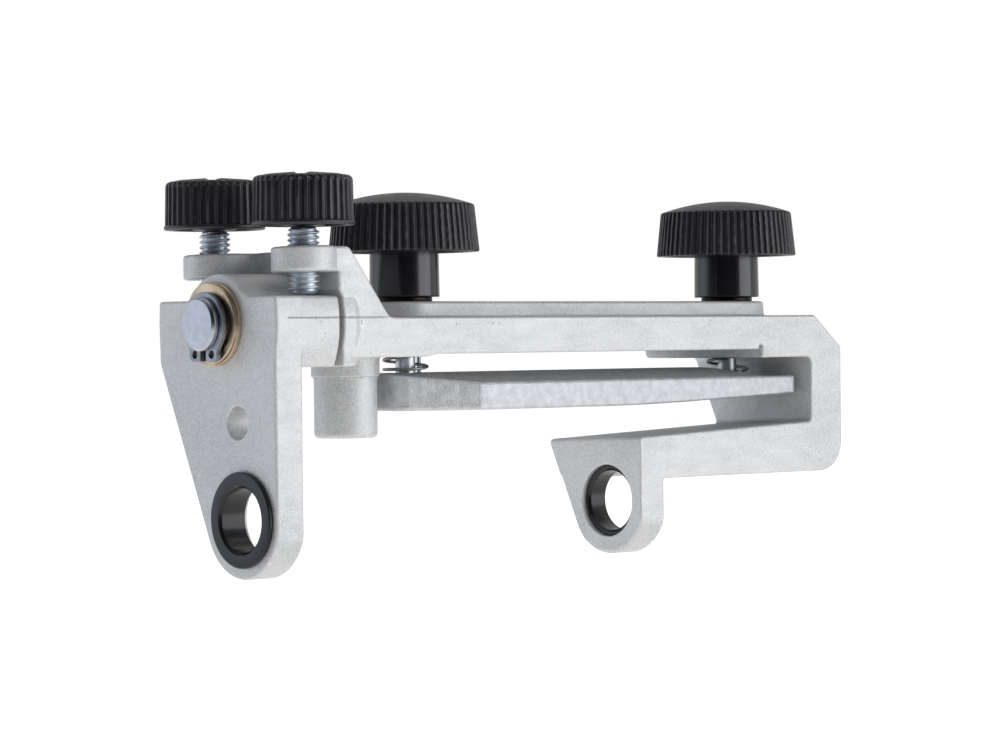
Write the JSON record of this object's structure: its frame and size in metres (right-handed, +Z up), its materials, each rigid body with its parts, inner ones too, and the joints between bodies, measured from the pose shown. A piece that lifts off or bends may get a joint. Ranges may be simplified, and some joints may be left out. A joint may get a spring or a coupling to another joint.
{
  "type": "square edge grinding jig",
  "caption": "Tool jig that slides on a round bar: C-shaped cast frame, swing arm set square by thumb screws, and a clamp bar drawn up by knobs.",
  "frame": {"origin": "on the support bar's axis, midway between the two clamp knobs", "axes": "+X along the support bar, from the swing arm to the frame's leg; +Y away from the open front; +Z up, towards the knobs"},
  "size_m": [0.1557, 0.046, 0.0748],
  "materials": {
    "cast_alloy": "tumbled die casting, satin with fine grain",
    "clamp_alloy": "mottled bright die casting",
    "bush_plastic": "satin black, fine turned texture",
    "knob_plastic": "satin black with fluted rim",
    "zinc_plate": "bright blue zinc plate",
    "pin_steel": "ground steel",
    "spring_steel": "drawn wire",
    "brass": "rolled brass"
  },
  "bodies": {
    "frame": {"frame_casting": "cast_alloy", "right_bar_bush": "bush_plastic", "pivot_pin": "pin_steel", "pivot_circlip": "pin_steel", "pivot_washer": "brass", "wave_washer": "brass", "left_clamp_spring": "spring_steel", "right_clamp_spring": "spring_steel"},
    "arm": {"swing_arm": "cast_alloy", "left_bar_bush": "bush_plastic"},
    "front_screw": {"front_adjuster_screw": "zinc_plate"},
    "front_knob": {"front_adjuster_knob": "knob_plastic"},
    "rear_screw": {"rear_adjuster_screw": "zinc_plate"},
    "rear_knob": {"rear_adjuster_knob": "knob_plastic"},
    "left_knob": {"left_clamp_knob": "knob_plastic", "left_knob_insert": "brass"},
    "right_knob": {"right_clamp_knob": "knob_plastic", "right_knob_insert": "brass"},
    "clamp": {"clamp_bar": "clamp_alloy", "left_clamp_stud": "zinc_plate", "right_clamp_stud": "zinc_plate", "guide_pin": "spring_steel"}
  },
  "joints": [
    {"name": "front_adjuster_slide", "type": "slide", "parent": "frame", "child": "front_screw", "axis": [0, 0, 1], "range_m": [-0.00094, 0.00094]},
    {"name": "front_adjuster_turn", "type": "hinge", "parent": "front_screw", "child": "front_knob", "pos_m": [-0.0801, -0.00595, 0.0585], "axis": [0, 0, 1], "range_deg": [-338, 338]},
    {"name": "rear_adjuster_slide", "type": "slide", "parent": "frame", "child": "rear_screw", "axis": [0, 0, 1], "range_m": [-0.00094, 0.00094]},
    {"name": "rear_adjuster_turn", "type": "hinge", "parent": "rear_screw", "child": "rear_knob", "pos_m": [-0.0801, 0.02095, 0.0585], "axis": [0, 0, 1], "range_deg": [-338, 338]},
    {"name": "arm_swing", "type": "hinge", "parent": "frame", "child": "arm", "pos_m": [-0.083, 0.0075, 0.036], "axis": [1, 0, 0], "range_deg": [-4, 4]},
    {"name": "clamp_travel", "type": "slide", "parent": "frame", "child": "clamp", "axis": [0, 0, 1], "range_m": [-0.0055, 0.0018], "deforming": ["left_clamp_spring", "right_clamp_spring"]},
    {"name": "left_clamp_turn", "type": "hinge", "parent": "frame", "child": "left_knob", "pos_m": [-0.04455, 0.0075, 0.05], "axis": [0, 0, 1], "range_deg": [-811, 2476]},
    {"name": "right_clamp_turn", "type": "hinge", "parent": "frame", "child": "right_knob", "pos_m": [0.04455, 0.0075, 0.05], "axis": [0, 0, 1], "range_deg": [-811, 2476]}
  ],
  "couplings": [
    {"joint": "front_adjuster_turn", "follows": "front_adjuster_slide", "rad_per_m": 6283.2},
    {"joint": "rear_adjuster_slide", "follows": "front_adjuster_slide", "ratio": -1},
    {"joint": "rear_adjuster_turn", "follows": "front_adjuster_slide", "rad_per_m": -6283.2},
    {"joint": "arm_swing", "follows": "front_adjuster_slide", "rad_per_m": -74.35},
    {"joint": "left_clamp_turn", "follows": "clamp_travel", "rad_per_m": -7854},
    {"joint": "right_clamp_turn", "follows": "clamp_travel", "rad_per_m": -7854}
  ]
}
